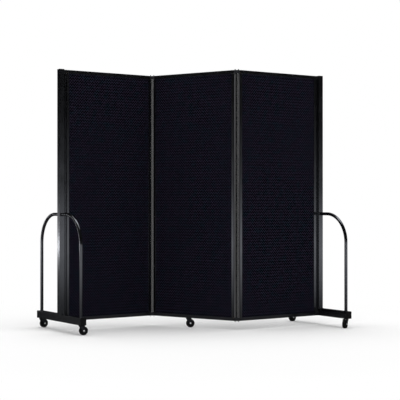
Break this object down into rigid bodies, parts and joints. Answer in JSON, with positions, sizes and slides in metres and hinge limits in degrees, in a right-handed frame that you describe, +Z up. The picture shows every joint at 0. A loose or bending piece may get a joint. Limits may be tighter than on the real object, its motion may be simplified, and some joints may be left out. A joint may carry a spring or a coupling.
{
  "type": "folding privacy screen on casters",
  "caption": "Freestanding zigzag privacy screen: black cloth panels in thin frames, double-pin folds, and an end post, hoop and base bar on casters at each end.",
  "frame": {"origin": "on the floor under the middle of the middle panel", "axes": "+Z up, +X along the standing zigzag to the right of someone in front of it, +Y towards the rear"},
  "size_m": [1.8836, 0.8364, 1.53],
  "materials": {
    "panel_frame_aluminium": "black satin powder coat on extruded channel",
    "end_frame_steel": "black satin powder coat on welded tube",
    "hinge_steel": "black satin enamel",
    "cover_fabric": "coarse black-navy woven panel cloth",
    "panel_board": "raw fibreboard, hidden behind the covers",
    "black_plastic": "moulded black plastic",
    "wheel_rubber": "hard black rubber tread on a moulded centre",
    "plated_steel": "bright zinc plating"
  },
  "bodies": {
    "middle_panel": {"middle_panel_core": "panel_board", "middle_panel_front_cover": "cover_fabric", "middle_panel_rear_cover": "cover_fabric", "middle_panel_top_rail": "panel_frame_aluminium", "middle_panel_bottom_rail": "panel_frame_aluminium", "middle_panel_left_stile": "panel_frame_aluminium", "middle_panel_right_stile": "panel_frame_aluminium"},
    "left_link": {"left_fold_top_block": "hinge_steel", "left_fold_bottom_block": "hinge_steel", "left_fold_spine": "hinge_steel", "left_fold_outer_pin": "hinge_steel", "left_fold_inner_pin": "hinge_steel"},
    "left_panel": {"left_panel_core": "panel_board", "left_panel_front_cover": "cover_fabric", "left_panel_rear_cover": "cover_fabric", "left_panel_top_rail": "panel_frame_aluminium", "left_panel_bottom_rail": "panel_frame_aluminium", "left_panel_left_stile": "panel_frame_aluminium", "left_panel_right_stile": "panel_frame_aluminium"},
    "left_end_frame": {"left_end_pin": "hinge_steel", "left_post": "end_frame_steel", "left_post_cap": "black_plastic", "left_hoop": "end_frame_steel", "left_base_bar": "end_frame_steel", "left_bar_front_plug": "black_plastic", "left_bar_rear_plug": "black_plastic"},
    "left_front_caster": {"left_front_caster_fork": "hinge_steel", "left_front_caster_axle": "plated_steel"},
    "left_front_wheel": {"left_front_caster_wheel": "wheel_rubber"},
    "left_rear_caster": {"left_rear_caster_fork": "hinge_steel", "left_rear_caster_axle": "plated_steel"},
    "left_rear_wheel": {"left_rear_caster_wheel": "wheel_rubber"},
    "middle_caster": {"middle_caster_fork": "hinge_steel", "middle_caster_axle": "plated_steel"},
    "middle_wheel": {"middle_caster_wheel": "wheel_rubber"},
    "right_link": {"right_fold_top_block": "hinge_steel", "right_fold_bottom_block": "hinge_steel", "right_fold_spine": "hinge_steel", "right_fold_outer_pin": "hinge_steel", "right_fold_inner_pin": "hinge_steel"},
    "right_panel": {"right_panel_core": "panel_board", "right_panel_front_cover": "cover_fabric", "right_panel_rear_cover": "cover_fabric", "right_panel_top_rail": "panel_frame_aluminium", "right_panel_bottom_rail": "panel_frame_aluminium", "right_panel_left_stile": "panel_frame_aluminium", "right_panel_right_stile": "panel_frame_aluminium"},
    "right_end_frame": {"right_end_pin": "hinge_steel", "right_post": "end_frame_steel", "right_post_cap": "black_plastic", "right_hoop": "end_frame_steel", "right_base_bar": "end_frame_steel", "right_bar_front_plug": "black_plastic", "right_bar_rear_plug": "black_plastic"},
    "right_front_caster": {"right_front_caster_fork": "hinge_steel", "right_front_caster_axle": "plated_steel"},
    "right_front_wheel": {"right_front_caster_wheel": "wheel_rubber"},
    "right_rear_caster": {"right_rear_caster_fork": "hinge_steel", "right_rear_caster_axle": "plated_steel"},
    "right_rear_wheel": {"right_rear_caster_wheel": "wheel_rubber"}
  },
  "joints": [
    {"name": "left_fold_inner", "type": "hinge", "parent": "middle_panel", "child": "left_link", "pos_m": [-0.24291, 0.16384, 0.79], "axis": [0, 0, 1], "range_deg": [-124, 56]},
    {"name": "left_fold_outer", "type": "hinge", "parent": "left_link", "child": "left_panel", "pos_m": [-0.26291, 0.16384, 0.79], "axis": [0, 0, 1], "range_deg": [-124, 56]},
    {"name": "left_end_hinge", "type": "hinge", "parent": "left_panel", "child": "left_end_frame", "pos_m": [-0.74872, -0.16384, 0.79], "axis": [0, 0, -1], "range_deg": [-90, 90]},
    {"name": "left_front_caster_swivel", "type": "hinge", "parent": "left_end_frame", "child": "left_front_caster", "pos_m": [-0.63618, -0.38345, 0.056], "axis": [0, 0, 1], "continuous": true},
    {"name": "left_front_wheel_roll", "type": "hinge", "parent": "left_front_caster", "child": "left_front_wheel", "pos_m": [-0.62302, -0.37867, 0.025], "axis": [-0.342, 0.9397, 0], "continuous": true},
    {"name": "left_rear_caster_swivel", "type": "hinge", "parent": "left_end_frame", "child": "left_rear_caster", "pos_m": [-0.91018, 0.02277, 0.056], "axis": [0, 0, 1], "continuous": true},
    {"name": "left_rear_wheel_roll", "type": "hinge", "parent": "left_rear_caster", "child": "left_rear_wheel", "pos_m": [-0.89946, 0.03177, 0.025], "axis": [-0.6428, 0.766, 0], "continuous": true},
    {"name": "middle_caster_swivel", "type": "hinge", "parent": "middle_panel", "child": "middle_caster", "pos_m": [-0.03316, 0.02237, 0.056], "axis": [0, 0, 1], "continuous": true},
    {"name": "middle_wheel_roll", "type": "hinge", "parent": "middle_caster", "child": "middle_wheel", "pos_m": [-0.01927, 0.02407, 0.025], "axis": [-0.1219, 0.9925, 0], "continuous": true},
    {"name": "right_fold_inner", "type": "hinge", "parent": "middle_panel", "child": "right_link", "pos_m": [0.24291, -0.16384, 0.79], "axis": [0, 0, 1], "range_deg": [-124, 56]},
    {"name": "right_fold_outer", "type": "hinge", "parent": "right_link", "child": "right_panel", "pos_m": [0.26291, -0.16384, 0.79], "axis": [0, 0, 1], "range_deg": [-124, 56]},
    {"name": "right_end_hinge", "type": "hinge", "parent": "right_panel", "child": "right_end_frame", "pos_m": [0.74872, 0.16384, 0.79], "axis": [0, 0, -1], "range_deg": [-90, 90]},
    {"name": "right_front_caster_swivel", "type": "hinge", "parent": "right_end_frame", "child": "right_front_caster", "pos_m": [0.91018, -0.02277, 0.056], "axis": [0, 0, 1], "continuous": true},
    {"name": "right_front_wheel_roll", "type": "hinge", "parent": "right_front_caster", "child": "right_front_wheel", "pos_m": [0.90297, -0.03478, 0.025], "axis": [0.8572, -0.515, 0], "continuous": true},
    {"name": "right_rear_caster_swivel", "type": "hinge", "parent": "right_end_frame", "child": "right_rear_caster", "pos_m": [0.63618, 0.38345, 0.056], "axis": [0, 0, 1], "continuous": true},
    {"name": "right_rear_wheel_roll", "type": "hinge", "parent": "right_rear_caster", "child": "right_rear_wheel", "pos_m": [0.62471, 0.37542, 0.025], "axis": [0.5736, -0.8192, 0], "continuous": true}
  ]
}
